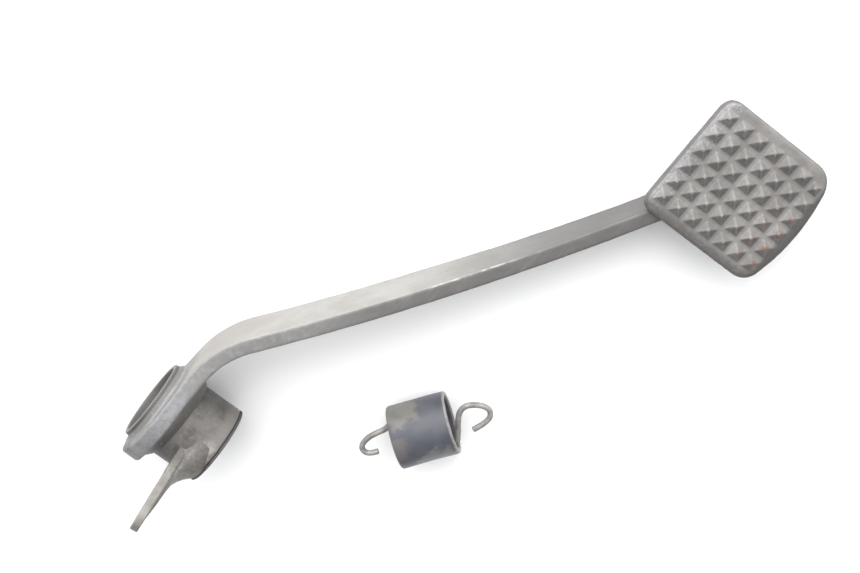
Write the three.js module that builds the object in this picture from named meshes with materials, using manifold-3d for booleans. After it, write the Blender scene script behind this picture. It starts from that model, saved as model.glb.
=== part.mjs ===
import * as THREE from 'three';
import Module from 'manifold-3d';
import { mergeVertices } from 'three/addons/utils/BufferGeometryUtils.js';

// Foot brake pedal lever with its loose return spring. Millimetres, +Z up.
// The pivot axis runs along Y through X = 0; the foot pad is at +X and the lever lies as it would on a table.

const wasm = await Module();
wasm.setup();

// ---- clearances ----
const GAP = 0.3;                    // left between parts that are pressed, welded or wound together
const RUNNING_GAP = 0.3;            // between the collar and the bushes that turn on it

// ---- pivot ----
const TUBE_OUTER_RADIUS = 16.5;
const TUBE_BORE_RADIUS = 14.6;
const TUBE_INBOARD_END = 16.5;      // Y of the open end
const TUBE_OUTBOARD_END = -15.2;    // Y of the end that carries the seal
const TUBE_CHAMFER = 0.5;
const SEAL_THICKNESS = 1.0;
const SEAL_LIP_DEPTH = 2.4;
const SEAL_LIP_RADIUS = 12.9;
const BOSS_RADIUS = 18.6;           // sloping shoulder from the eye's outboard face down to the tube
const BOSS_LENGTH = 3.7;
const BOSS_FORWARD = 2.1;
const BOSS_REAR_END = -8.0;         // X behind which the tube is bare
const BUSH_LENGTH = 11.0;
const BUSH_RECESS = 3.0;            // how far each bush sits inside the end of the tube
const COLLAR_OUTER_RADIUS = 12.4;
const COLLAR_BORE_RADIUS = 10.2;
const COLLAR_RECESS = 2.7;

// ---- arm ----
const ARM_THICKNESS = 6.6;
const ARM_MID_Y = 9.0;              // middle of the arm where it rings the tube
const EYE_RADIUS = 21.5;
const EYE_CHEEK = 1.4;              // extra thickness of the eye on its inboard side
const EYE_NOSE_RADIUS = 8.0;        // small lobe at the rear of the eye, above the pivot
const EYE_NOSE_X = -12.4;
const EYE_NOSE_Z = 8.2;
const BEND_START = 23.4;            // X where the arm leaves the plane of the eye
const BEND_RADIUS = 40.0;           // radius of the bend, at the middle of the bar
const BEND_ANGLE = 36.6;            // degrees turned outboard
const BOW_RADIUS = 1250.0;          // the bar beyond the bend bows gently back
const ARM_LENGTH = 220.0;           // along the bar, from the start of the bend to its tip
const ARM_TOP_BY_EYE = 11.3;
const ARM_TOP_BY_PAD = -0.9;
const ARM_BOTTOM_BY_EYE = -13.0;
const ARM_BOTTOM_MIDWAY = -18.2;
const ARM_BOTTOM_BY_PAD = -19.9;
const ARM_TAPER = 0.7;              // the bar thins by this much over its length, on the outboard side
const ARM_TIP_BOTTOM = -9.5;
const SHOULDER_X = 45.0;            // where the eye has blended into the bar
const ARM_MIDWAY_X = 105.0;
const ARM_FLAT_X = 180.0;           // from here on the top edge is level
const ARM_HEEL_X = 198.0;           // lowest point; beyond it the lower edge rises to the tip
const ARM_REACH = 220.0;            // X beyond the tip of the bar

// ---- foot pad ----
const PAD_X = 208.5;                // point the pad is turned about
const PAD_Y = -101.7;
const PAD_TURN = 2.7;               // degrees, seen from above
const PAD_FRONT = 25.8;             // edges, from that point
const PAD_REAR = -25.3;
const PAD_INBOARD = 25.0;
const PAD_OUTBOARD = -28.3;
const PAD_BULGE = 1.8;              // how far the outboard edge bows out
const PAD_TOP = 2.4;
const PAD_PLATE = 3.0;
const PAD_RIM_DEPTH = 3.0;          // rim turned down below the plate
const PAD_RIM_WIDTH = 2.6;
const PAD_EDGE_ROUND = 1.4;
const STUD_PITCH = 7.29;
const STUD_BASE = 5.6;
const STUD_TIP = 0.5;
const STUD_HEIGHT = 2.4;
const STUD_LEAN_X = 0.7;            // the tips lean forward and inboard
const STUD_LEAN_Y = 0.65;
const STUD_SHIFT_X = 0.36;          // middle of the studs from the middle of the pad
const STUD_SHIFT_Y = -1.33;
const STUD_COLUMNS = 7;             // across the pad
const STUD_ROWS = 6;                // along the pad
const PAD_WELD_LEG = 2.8;
const PAD_WELD_START = 192.0;       // along the bar, like the arm's length
const PAD_WELD_END = 214.0;

// ---- brake rod lever ----
const ROD_LEVER_MID_Y = -5.2;
const ROD_LEVER_THICKNESS = 3.2;
const ROD_LEVER_ANGLE = 120.0;      // degrees from +X towards +Z
const ROD_LEVER_TWIST = 8.0;        // degrees its flat is turned off square to the pivot
const ROD_LEVER_LENGTH = 44.0;      // pivot axis to clevis hole
const ROD_LEVER_ROOT_HALF = 8.5;
const ROD_LEVER_TIP_RADIUS = 6.0;
const CLEVIS_HOLE_RADIUS = 3.3;
const ROD_LEVER_ROOT_END = 24.0;    // the root, up to here, is a little thinner on its inboard side
const ROD_LEVER_ROOT_STEP = 0.2;

// ---- gusset on the outboard side of the rod lever: distance from the pivot, thickness, half width ----
const GUSSET_STATIONS = [
  [14.0, 7.2, 8.0],
  [25.0, 1.7, 6.4],
  [38.0, 0.3, 5.0],
];

// ---- return spring ----
const WIRE_RADIUS = 1.2;
const COIL_RADIUS = 9.7;            // to the middle of the wire
const COIL_TURNS = 6.5;
const COIL_PITCH = 2.8;
const SLEEVE_RADIUS = 13.2;
const SLEEVE_BORE_RADIUS = 11.2;
const SLEEVE_LENGTH = 24.4;
const SPRING_X = 55.0;
const SPRING_Y = -78.2;
const SPRING_TURN = -33.5;          // degrees from +X, seen from above

const TABLE = -EYE_RADIUS;          // Z of the surface the lever and the spring lie on
const ROUND = 48;                   // segments round a full circle

// ---- colours ----
const FORGED_STEEL = { color: 0x5b5853, roughness: 0.55, metalness: 0.7 };
const GRIMY_STEEL = { color: 0x453f39, roughness: 0.75, metalness: 0.5 };
const BARE_STEEL = { color: 0x8a8782, roughness: 0.35, metalness: 0.9 };
const BRONZE = { color: 0x8a6a3c, roughness: 0.45, metalness: 0.85 };
const WELD = { color: 0x4e4a45, roughness: 0.7, metalness: 0.6 };
const RUBBER = { color: 0x23252b, roughness: 0.8, metalness: 0.0 };
const SPRING_WIRE = { color: 0x6a6259, roughness: 0.6, metalness: 0.6 };

// ---- helpers ----
function toSolid(geometry) {
  const plain = geometry.clone();
  plain.deleteAttribute('normal');
  plain.deleteAttribute('uv');
  const welded = mergeVertices(plain, 1e-5);
  return new wasm.Manifold(new wasm.Mesh({
    numProp: 3,
    vertProperties: new Float32Array(welded.attributes.position.array),
    triVerts: new Uint32Array(welded.index.array),
  }));
}

function toGeometry(solid) {
  const mesh = solid.getMesh();
  const geometry = new THREE.BufferGeometry();
  geometry.setAttribute('position', new THREE.BufferAttribute(new Float32Array(mesh.vertProperties), 3));
  geometry.setIndex(new THREE.BufferAttribute(new Uint32Array(mesh.triVerts), 1));
  geometry.computeVertexNormals();
  return geometry;
}

function part(name, geometry, finish) {
  const mesh = new THREE.Mesh(geometry, new THREE.MeshStandardMaterial(finish));
  mesh.name = name;
  return mesh;
}

// closed ring turned about the Y axis from [radius, y] corners, outer side first and going up
function turned(corners, segments = ROUND) {
  const profile = corners.map(([radius, y]) => new THREE.Vector2(radius, y));
  profile.push(profile[0].clone());
  return new THREE.LatheGeometry(profile, segments);
}

function ring(outer, inner, low, high, chamfer = 0) {
  return turned([
    [outer - chamfer, low],
    [outer, low + chamfer],
    [outer, high - chamfer],
    [outer - chamfer, high],
    [inner, high],
    [inner, low],
  ].filter((corner, i) => chamfer > 0 || (i !== 1 && i !== 2)));
}

function rod(radius, low, high, segments = ROUND) {
  const profile = [[0, low], [radius, low], [radius, high], [0, high]];
  return new THREE.LatheGeometry(profile.map(([r, y]) => new THREE.Vector2(r, y)), segments);
}

// plate whose outline lies in the X-Z plane, running from Y = low to Y = high
function sidePlate(outline, low, high, curveSegments = 12) {
  const geometry = new THREE.ExtrudeGeometry(outline, {
    depth: high - low,
    bevelEnabled: false,
    curveSegments,
  });
  geometry.rotateX(Math.PI / 2);
  geometry.translate(0, high, 0);
  return geometry;
}

// plate whose outline lies in the X-Y plane, running from Z = low to Z = high
function flatPlate(outline, low, high) {
  const geometry = new THREE.ExtrudeGeometry(outline, { depth: high - low, bevelEnabled: false });
  geometry.translate(0, 0, low);
  return geometry;
}

function sweep(path, steps, radius, sides) {
  const circle = new THREE.Shape();
  circle.absarc(0, 0, radius, 0, 2 * Math.PI, false);
  return new THREE.ExtrudeGeometry(circle, {
    steps,
    extrudePath: path,
    curveSegments: sides / 2,
    bevelEnabled: false,
  });
}

// point of the bar seen from above, a run along its middle line and an offset to the inboard side
function barPoint(run, offset) {
  const turn = THREE.MathUtils.degToRad(BEND_ANGLE);
  const bend = Math.min(run / BEND_RADIUS, turn);
  const bow = Math.max(run - turn * BEND_RADIUS, 0) / BOW_RADIUS;
  const heading = bend - bow;
  const x = BEND_START + BEND_RADIUS * Math.sin(bend) + BOW_RADIUS * (Math.sin(bend) - Math.sin(heading));
  const drop = BEND_RADIUS * (1 - Math.cos(bend)) + BOW_RADIUS * (Math.cos(heading) - Math.cos(bend));
  return new THREE.Vector2(
    x + offset * Math.sin(heading),
    ARM_MID_Y - drop + offset * Math.cos(heading),
  );
}

// ---- pivot parts ----
function pivotCollar() {
  const high = TUBE_INBOARD_END - COLLAR_RECESS;
  const low = TUBE_OUTBOARD_END + COLLAR_RECESS;
  return ring(COLLAR_OUTER_RADIUS, COLLAR_BORE_RADIUS, low, high, 0.4);
}

function pivotTube() {
  return ring(TUBE_OUTER_RADIUS, TUBE_BORE_RADIUS, TUBE_OUTBOARD_END, TUBE_INBOARD_END, TUBE_CHAMFER);
}

function bush(low) {
  return ring(TUBE_BORE_RADIUS - GAP, COLLAR_OUTER_RADIUS + RUNNING_GAP, low, low + BUSH_LENGTH);
}

function endSeal() {
  const face = TUBE_OUTBOARD_END - GAP;
  const lip = TUBE_BORE_RADIUS - GAP;
  return turned([
    [TUBE_OUTER_RADIUS - 0.6, face - SEAL_THICKNESS],
    [TUBE_OUTER_RADIUS + 0.2, face - SEAL_THICKNESS + 0.6],
    [TUBE_OUTER_RADIUS + 0.2, face],
    [lip, face],
    [lip, face + SEAL_LIP_DEPTH],
    [SEAL_LIP_RADIUS, face + SEAL_LIP_DEPTH],
    [SEAL_LIP_RADIUS, face - SEAL_THICKNESS],
  ]);
}

// ---- arm ----
// point on one face of the bar, or a little way out from it; side is 1 inboard, -1 outboard
function facePoint(run, side, out = 0) {
  const thinned = side < 0 ? ARM_TAPER * run / ARM_LENGTH : 0;
  return barPoint(run, side * (ARM_THICKNESS / 2 - thinned + out));
}

function armPlan() {
  const half = ARM_THICKNESS / 2;
  const bend = THREE.MathUtils.degToRad(BEND_ANGLE) * BEND_RADIUS;
  const runs = [];
  for (let i = 0; i <= 8; i += 1) {
    runs.push(bend * i / 8);
  }
  for (let i = 1; i <= 8; i += 1) {
    runs.push(bend + (ARM_LENGTH - bend) * i / 8);
  }
  const inboard = runs.map((run) => facePoint(run, 1));
  const outboard = runs.map((run) => facePoint(run, -1));
  inboard.unshift(new THREE.Vector2(-EYE_RADIUS - 4, ARM_MID_Y + half));
  outboard.unshift(new THREE.Vector2(-EYE_RADIUS - 4, ARM_MID_Y - half));
  return new THREE.Shape([...outboard, ...inboard.reverse()]);
}

function armProfile() {
  const outline = new THREE.Shape();
  const top = THREE.MathUtils.degToRad(66);
  const bottom = THREE.MathUtils.degToRad(-58);
  outline.moveTo(EYE_RADIUS * Math.cos(bottom), EYE_RADIUS * Math.sin(bottom));
  outline.quadraticCurveTo(EYE_RADIUS, ARM_BOTTOM_BY_EYE + 1.2, SHOULDER_X, ARM_BOTTOM_BY_EYE);
  outline.lineTo(ARM_MIDWAY_X, ARM_BOTTOM_MIDWAY);
  outline.lineTo(ARM_FLAT_X - 2, ARM_BOTTOM_BY_PAD);
  outline.lineTo(ARM_HEEL_X - 6, TABLE);
  outline.lineTo(ARM_HEEL_X, TABLE);
  outline.lineTo(ARM_REACH, ARM_TIP_BOTTOM);
  outline.lineTo(ARM_REACH, ARM_TOP_BY_PAD);
  outline.lineTo(ARM_FLAT_X, ARM_TOP_BY_PAD);
  outline.lineTo(SHOULDER_X, ARM_TOP_BY_EYE);
  outline.quadraticCurveTo(
    EYE_RADIUS + 2, ARM_TOP_BY_EYE + 2.4,
    EYE_RADIUS * Math.cos(top), EYE_RADIUS * Math.sin(top),
  );
  outline.absarc(0, 0, EYE_RADIUS, top, 2 * Math.PI + bottom, false);
  return outline;
}

function pedalArm() {
  const plan = toSolid(flatPlate(armPlan(), TABLE - 1, EYE_RADIUS + 1));
  const profile = toSolid(sidePlate(armProfile(), -130, 20, 28));
  const bore = toSolid(rod(TUBE_OUTER_RADIUS + GAP, -20, 30));
  const face = ARM_MID_Y + ARM_THICKNESS / 2;
  const cheek = toSolid(rod(EYE_RADIUS - 2.2, face - 1, face + EYE_CHEEK)).translate([-2.2, 0, 0]);
  const nose = toSolid(rod(EYE_NOSE_RADIUS, face - ARM_THICKNESS, face + EYE_CHEEK, 24))
    .translate([EYE_NOSE_X, 0, EYE_NOSE_Z]);
  return toGeometry(plan.intersect(profile).add(cheek).add(nose).subtract(bore));
}

// shoulder against the outboard face of the eye, thickest at the front, where the bar leaves the hub
function eyeBoss() {
  const near = ARM_MID_Y - ARM_THICKNESS / 2 - GAP;
  const cone = toSolid(turned([
    [TUBE_OUTER_RADIUS - 8, near - BOSS_LENGTH],
    [BOSS_RADIUS - BOSS_LENGTH - 0.4, near - BOSS_LENGTH],
    [BOSS_RADIUS, near],
    [TUBE_OUTER_RADIUS - 8, near],
  ])).translate([BOSS_FORWARD, 0, 0]);
  const tube = toSolid(rod(TUBE_OUTER_RADIUS + GAP, -30, 30));
  const front = new THREE.BoxGeometry(60, 60, 60);
  front.translate(BOSS_REAR_END + 30, 0, 0);
  return toGeometry(cone.subtract(tube).intersect(toSolid(front)));
}

// weld ring laid in the corner between the tube and the inboard face of the eye
function eyeWeld(faceY, leg) {
  const inner = TUBE_OUTER_RADIUS + GAP;
  const near = faceY + GAP;
  return turned([
    [inner, near],
    [inner + leg * 0.9, near],
    [inner + leg * 0.6, near + leg * 0.6],
    [inner + 0.2, near + leg * 0.9],
    [inner, near + leg * 0.9],
  ]);
}

// ---- foot pad ----
// outline about the point the pad is turned about, +X to the front and +Y inboard
function padOutline(inset) {
  const rear = PAD_REAR + inset;
  const front = PAD_FRONT - inset;
  const inboard = PAD_INBOARD - inset;
  const outboard = PAD_OUTBOARD + inset;
  const outline = new THREE.Shape();
  outline.moveTo(rear, inboard - 5);
  outline.lineTo(rear, outboard + 8);
  outline.quadraticCurveTo(rear, outboard + 0.6, rear + 8, outboard - 0.2);
  outline.quadraticCurveTo(0, outboard - 2 * PAD_BULGE, front - 9, outboard + 0.7);
  outline.quadraticCurveTo(front, outboard + 2.4, front, outboard + 11);
  outline.lineTo(front, inboard - 6.5);
  outline.quadraticCurveTo(front, inboard, front - 6.5, inboard);
  outline.lineTo(rear + 5, inboard);
  outline.quadraticCurveTo(rear, inboard, rear, inboard - 5);
  return outline;
}

function placePad(solid) {
  return solid.rotate([0, 0, PAD_TURN]).translate([PAD_X, PAD_Y, 0]);
}

function stud(x, y) {
  const corners = [[-0.5, -0.5], [0.5, -0.5], [0.5, 0.5], [-0.5, 0.5]];
  const base = corners.map(([i, j]) => [x + i * STUD_BASE, y + j * STUD_BASE, PAD_TOP - 0.3]);
  const tip = corners.map(([i, j]) => [
    x + STUD_LEAN_X + i * STUD_TIP,
    y + STUD_LEAN_Y + j * STUD_TIP,
    PAD_TOP + STUD_HEIGHT,
  ]);
  return wasm.Manifold.hull([...base, ...tip]);
}

function padSlab() {
  const depth = PAD_PLATE + PAD_RIM_DEPTH;
  const geometry = new THREE.ExtrudeGeometry(padOutline(PAD_EDGE_ROUND), {
    depth: depth - 2 * PAD_EDGE_ROUND,
    bevelEnabled: true,
    bevelThickness: PAD_EDGE_ROUND,
    bevelSize: PAD_EDGE_ROUND,
    bevelSegments: 2,
    curveSegments: 6,
  });
  geometry.translate(0, 0, PAD_TOP - depth + PAD_EDGE_ROUND);
  return toSolid(geometry);
}

// strip under the pad, along the bar, that the bar and its welds pass through
function armSlot() {
  const room = PAD_WELD_LEG + 2 * GAP;
  const runs = [150, 190, 205, ARM_LENGTH + 3];
  const outboard = runs.map((run) => facePoint(run, -1, room));
  const inboard = runs.map((run) => facePoint(run, 1, room)).reverse();
  return toSolid(flatPlate(new THREE.Shape([...outboard, ...inboard]), -30, PAD_TOP - PAD_PLATE));
}

function footPad() {
  const pocket = toSolid(flatPlate(padOutline(PAD_RIM_WIDTH), -30, PAD_TOP - PAD_PLATE));
  const studRoom = toSolid(flatPlate(padOutline(PAD_EDGE_ROUND + 0.2), PAD_TOP - 1, PAD_TOP + 10));
  let pad = padSlab().subtract(pocket);
  for (let column = 0; column < STUD_COLUMNS; column += 1) {
    for (let row = 0; row < STUD_ROWS; row += 1) {
      const x = (row - (STUD_ROWS - 1) / 2) * STUD_PITCH + STUD_SHIFT_X;
      const y = (column - (STUD_COLUMNS - 1) / 2) * STUD_PITCH + STUD_SHIFT_Y;
      pad = pad.add(stud(x, y).intersect(studRoom));
    }
  }
  return toGeometry(placePad(pad).subtract(armSlot()));
}

// fillet along one side of the bar, under the plate of the pad
function padWeld(side) {
  const far = GAP + PAD_WELD_LEG;
  const top = PAD_TOP - PAD_PLATE - GAP;
  const corners = [];
  for (const run of [PAD_WELD_START, PAD_WELD_END]) {
    for (const [out, z] of [[GAP, top], [far, top], [GAP, top - PAD_WELD_LEG]]) {
      const at = facePoint(run, side, out);
      corners.push(at.x, at.y, z);
    }
  }
  const faces = [0, 1, 2, 3, 5, 4, 0, 3, 4, 0, 4, 1, 1, 4, 5, 1, 5, 2, 2, 5, 3, 2, 3, 0];
  const geometry = new THREE.BufferGeometry();
  geometry.setAttribute('position', new THREE.Float32BufferAttribute(corners, 3));
  geometry.setIndex(side > 0 ? faces : faces.slice().reverse());
  return geometry;
}

// ---- brake rod lever ----
// built pointing along +X, then turned up about the pivot axis
function raise(solid) {
  return solid.rotate([0, -ROD_LEVER_ANGLE, 0]);
}

function placeLever(solid) {
  return raise(solid.rotate([ROD_LEVER_TWIST, 0, 0]).translate([0, ROD_LEVER_MID_Y, 0]));
}

function rodLeverPlate(half) {
  const outline = new THREE.Shape();
  outline.moveTo(8, -ROD_LEVER_ROOT_HALF);
  outline.lineTo(TUBE_OUTER_RADIUS, -ROD_LEVER_ROOT_HALF + 1);
  outline.quadraticCurveTo(TUBE_OUTER_RADIUS + 6, -7.5, ROD_LEVER_LENGTH, -ROD_LEVER_TIP_RADIUS);
  outline.absarc(ROD_LEVER_LENGTH, 0, ROD_LEVER_TIP_RADIUS, -Math.PI / 2, Math.PI / 2, false);
  outline.quadraticCurveTo(TUBE_OUTER_RADIUS + 6, 7.5, TUBE_OUTER_RADIUS, ROD_LEVER_ROOT_HALF - 1);
  outline.lineTo(8, ROD_LEVER_ROOT_HALF);
  const hole = new THREE.Path();
  hole.absarc(ROD_LEVER_LENGTH, 0, CLEVIS_HOLE_RADIUS, 0, 2 * Math.PI, true);
  outline.holes.push(hole);
  return placeLever(toSolid(sidePlate(outline, -half, half, 10)));
}

function rodLever() {
  const half = ROD_LEVER_THICKNESS / 2;
  const tube = toSolid(rod(TUBE_OUTER_RADIUS + GAP, -30, 30));
  const step = new THREE.BoxGeometry(ROD_LEVER_ROOT_END, 1, 4 * ROD_LEVER_ROOT_HALF);
  step.translate(ROD_LEVER_ROOT_END / 2, half - ROD_LEVER_ROOT_STEP + 0.5, 0);
  return toGeometry(rodLeverPlate(half).subtract(placeLever(toSolid(step))).subtract(tube));
}

// thickened root of the lever, spreading along the tube to its outboard end
function rodLeverWeld() {
  const face = -ROD_LEVER_THICKNESS / 2 - GAP;
  const corners = GUSSET_STATIONS.map(([along, thick, half]) => [
    [along, face, -half],
    [along, face, half],
    [along, face - thick, -half * 0.8],
    [along, face - thick, half * 0.8],
  ]);
  const root = wasm.Manifold.hull([...corners[0], ...corners[1]]);
  const taper = wasm.Manifold.hull([...corners[1], ...corners[2]]);
  const tube = toSolid(rod(TUBE_OUTER_RADIUS + GAP, -30, 30));
  return toGeometry(placeLever(root.add(taper)).subtract(tube));
}

// ---- return spring, built along +X about its own axis ----
function coilEnd() {
  return COIL_TURNS * COIL_PITCH / 2;
}

function springCoil() {
  const points = [];
  const steps = Math.round(COIL_TURNS * 16);
  for (let i = 0; i <= steps; i += 1) {
    const turn = i / steps * COIL_TURNS;
    const angle = 2 * Math.PI * turn + Math.PI / 2;
    points.push(new THREE.Vector3(
      turn * COIL_PITCH - coilEnd(),
      COIL_RADIUS * Math.sin(angle),
      COIL_RADIUS * Math.cos(angle),
    ));
  }
  return sweep(new THREE.CatmullRomCurve3(points), steps, WIRE_RADIUS, 6);
}

function hook(points, steps) {
  const path = new THREE.CatmullRomCurve3(points.map(([x, y, z]) => new THREE.Vector3(x, y, z)));
  return sweep(path, steps, WIRE_RADIUS, 8);
}

// leaves the coil's first turn and curls back under, seen from above
function nearHook() {
  return hook([
    [-12.0, 8.6, 0],
    [-13.0, 5.9, 0],
    [-15.4, 4.7, 0],
    [-18.6, 4.1, 0],
    [-22.0, 3.3, 0],
    [-25.2, 1.5, 0],
    [-26.5, -0.8, 0],
    [-25.6, -3.0, 0],
    [-23.4, -3.9, 0],
    [-20.5, -4.0, 0],
  ], 26);
}

// leaves the coil's last turn, crosses the open end of the sleeve and loops back
function farHook() {
  return hook([
    [12.0, -8.9, 0],
    [13.2, -5.2, 0],
    [14.6, -0.4, 0],
    [16.4, 3.3, 0],
    [19.4, 5.1, 0],
    [23.2, 4.6, 0],
    [26.6, 2.8, 0],
    [28.2, 0.2, 0],
    [27.2, -2.6, 0],
    [24.0, -4.5, 0],
    [19.4, -5.9, 0],
  ], 30);
}

function damperSleeve() {
  const half = SLEEVE_LENGTH / 2;
  const geometry = ring(SLEEVE_RADIUS, SLEEVE_BORE_RADIUS, -half, half, 0.5);
  return geometry.rotateZ(-Math.PI / 2);
}

function placeSpring(geometry) {
  geometry.rotateZ(THREE.MathUtils.degToRad(SPRING_TURN));
  geometry.translate(SPRING_X, SPRING_Y, TABLE + SLEEVE_RADIUS);
  return geometry;
}

// ---- whole object ----
function buildObject() {
  const half = ARM_THICKNESS / 2;
  const group = new THREE.Group();
  group.add(
    part('pivot_collar', pivotCollar(), BARE_STEEL),
    part('pivot_tube', pivotTube(), GRIMY_STEEL),
    part('bush_inboard', bush(TUBE_INBOARD_END - BUSH_RECESS - BUSH_LENGTH), BRONZE),
    part('bush_outboard', bush(TUBE_OUTBOARD_END + BUSH_RECESS), BRONZE),
    part('end_seal', endSeal(), RUBBER),
    part('pedal_arm', pedalArm(), FORGED_STEEL),
    part('eye_weld', eyeWeld(ARM_MID_Y + half + EYE_CHEEK, 1.3), WELD),
    part('eye_boss', eyeBoss(), GRIMY_STEEL),
    part('foot_pad', footPad(), FORGED_STEEL),
    part('pad_weld_inboard', padWeld(1), WELD),
    part('pad_weld_outboard', padWeld(-1), WELD),
    part('brake_rod_lever', rodLever(), FORGED_STEEL),
    part('rod_lever_weld', rodLeverWeld(), WELD),
    part('spring_coil', placeSpring(springCoil()), SPRING_WIRE),
    part('spring_hook_near', placeSpring(nearHook()), SPRING_WIRE),
    part('spring_hook_far', placeSpring(farHook()), SPRING_WIRE),
    part('damper_sleeve', placeSpring(damperSleeve()), RUBBER),
  );
  const bounds = new THREE.Box3().setFromObject(group);
  const middle = bounds.getCenter(new THREE.Vector3());
  group.children.forEach((mesh) => mesh.geometry.translate(-middle.x, -middle.y, -bounds.min.z));
  return group;
}

export default buildObject();
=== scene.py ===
"""A worn foot brake lever and its loose return spring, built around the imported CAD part."""

import math

import bmesh
import bpy
import numpy as np
from mathutils import Matrix, Vector, noise


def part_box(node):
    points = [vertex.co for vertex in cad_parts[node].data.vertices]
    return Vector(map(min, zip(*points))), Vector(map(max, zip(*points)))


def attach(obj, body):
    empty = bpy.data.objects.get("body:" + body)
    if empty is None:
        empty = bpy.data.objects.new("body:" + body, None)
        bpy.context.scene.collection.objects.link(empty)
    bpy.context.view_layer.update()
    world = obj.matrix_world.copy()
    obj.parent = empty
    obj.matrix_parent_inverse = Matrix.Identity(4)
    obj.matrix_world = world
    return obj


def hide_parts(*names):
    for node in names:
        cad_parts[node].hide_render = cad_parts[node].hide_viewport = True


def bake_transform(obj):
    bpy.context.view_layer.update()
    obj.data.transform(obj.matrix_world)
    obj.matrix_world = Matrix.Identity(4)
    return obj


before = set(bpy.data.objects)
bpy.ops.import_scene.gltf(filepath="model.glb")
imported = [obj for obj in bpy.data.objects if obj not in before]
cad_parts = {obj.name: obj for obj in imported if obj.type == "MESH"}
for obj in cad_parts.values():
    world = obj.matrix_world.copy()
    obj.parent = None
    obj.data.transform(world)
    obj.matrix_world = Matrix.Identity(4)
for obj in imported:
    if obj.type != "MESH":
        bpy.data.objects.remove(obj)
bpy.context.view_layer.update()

MM = 0.001

# The hub frame, in millimetres: the pivot axis is Y, through X = 0 and Z = 0.
TUBE_INBOARD = 16.5  # Y of the tube's open end
tube_low, tube_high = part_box("pivot_tube")
PIVOT = Vector(
    (
        (tube_low.x + tube_high.x) / 2,
        tube_high.y - TUBE_INBOARD * MM,
        (tube_low.z + tube_high.z) / 2,
    )
)
sleeve_low, sleeve_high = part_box("damper_sleeve")
SPRING_CENTRE = ((sleeve_low + sleeve_high) / 2 - PIVOT) / MM
SPRING_TURN = math.radians(-33.5)

TUBE_RADIUS = 16.5
TUBE_BORE = 14.6
TUBE_OUTBOARD = -15.2
TUBE_ROOM = 16.55  # the arm is bored a hair wider than the tube
BUSH_INBOARD_ENDS = (2.5, 13.5)
BUSH_OUTBOARD_ENDS = (-12.2, -1.2)
EYE_RADIUS = 21.5
EYE_OUTBOARD = 5.7
EYE_INBOARD = 13.7
TABLE = -21.5

# the bar, as in the CAD
BAR_THICKNESS = 6.6
BAR_TAPER = 0.7
BAR_MID_Y = 9.0
BEND_START = 23.4
BEND_RADIUS = 40.0
BEND_ANGLE = math.radians(36.6)
BOW_RADIUS = 1250.0
BAR_LENGTH = 220.0

# the pad, with its edges measured from the point it is turned about
PAD_CENTRE = (208.5, -101.7)
PAD_TURN = math.radians(2.7)
PAD_REAR = -25.3
PAD_FRONT = 25.8
PAD_INBOARD = 25.0
PAD_OUTBOARD = -28.3
PAD_TOP = 2.4
PAD_SHADE = 1.9  # how much wider the top's bevel is at the rear and outboard edges
STUD_ROWS = 6
STUD_COLUMNS = 7
STUD_PITCH = 7.29
STUD_HALF = 2.85
STUD_HEIGHT = 2.45
STUD_LEAN = (0.70, 0.65)
STUD_SHIFT = (0.36, -1.33)
CORNER_STUD = (5, 0)  # smaller and set back, to stay inside the rounded corner
CORNER_STUD_HALF = 2.1
CORNER_STUD_SHIFT = (-0.7, 0.9)

# the brake rod lever
LEVER_MID_Y = -5.2
LEVER_ANGLE = math.radians(120.0)
LEVER_TWIST = math.radians(8.0)
LEVER_TIP = 44.0  # middle of the rounded tip and of the hole, from the pivot
LEVER_TIP_RADIUS = 6.0
LEVER_HOLE_RADIUS = 3.3
LEVER_PLUG_RADIUS = 3.2
LEVER_FLAT = 1.15  # half the blade's thickness, without its rounded edge
LEVER_ROUND = 0.45

# the spring, along its own axis
WIRE_RADIUS = 1.2
COIL_RADIUS = 9.7
COIL_TURNS = 6.5
COIL_PITCH = 2.8
SLEEVE_HALF = 12.2


# ---------------------------------------------------------------- mesh helpers
def row(points):
    """Hub-frame millimetres to row-frame metres."""
    return [PIVOT + Vector(p) * MM for p in points]


def make(name, points, faces):
    """A mesh object from hub-frame points, with its faces turned outwards."""
    mesh = bpy.data.meshes.new(name)
    mesh.from_pydata(row(points), [], faces)
    bm = bmesh.new()
    bm.from_mesh(mesh)
    bmesh.ops.remove_doubles(bm, verts=bm.verts, dist=1e-7)
    bmesh.ops.recalc_face_normals(bm, faces=bm.faces)
    bm.to_mesh(mesh)
    bm.free()
    piece = bpy.data.objects.new(name, mesh)
    bpy.context.scene.collection.objects.link(piece)
    return piece


def settle(piece):
    """Applies the modifiers, so that the mesh is final."""
    bpy.context.view_layer.update()
    graph = bpy.context.evaluated_depsgraph_get()
    mesh = bpy.data.meshes.new_from_object(piece.evaluated_get(graph))
    piece.modifiers.clear()
    old = piece.data
    piece.data = mesh
    bpy.data.meshes.remove(old)
    mesh.name = piece.name
    return piece


def smooth(piece, angle):
    piece.data.shade_smooth()
    piece.data.set_sharp_from_angle(angle=math.radians(angle))
    return piece


def join(name, parts):
    """One object out of several, without operators."""
    bm = bmesh.new()
    for part in parts:
        bm.from_mesh(part.data)
    mesh = bpy.data.meshes.new(name)
    bm.to_mesh(mesh)
    bm.free()
    for part in parts:
        old = part.data
        bpy.data.objects.remove(part)
        bpy.data.meshes.remove(old)
    piece = bpy.data.objects.new(name, mesh)
    bpy.context.scene.collection.objects.link(piece)
    return piece


def fuse(piece, voxel, rounds):
    """Melts overlapping solids into one skin with soft edges, like forged or welded metal."""
    remesh = piece.modifiers.new("skin", "REMESH")
    remesh.mode = "VOXEL"
    remesh.voxel_size = voxel * MM
    soften = piece.modifiers.new("soften", "SMOOTH")
    soften.factor = 0.5
    soften.iterations = rounds
    return settle(piece)


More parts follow.
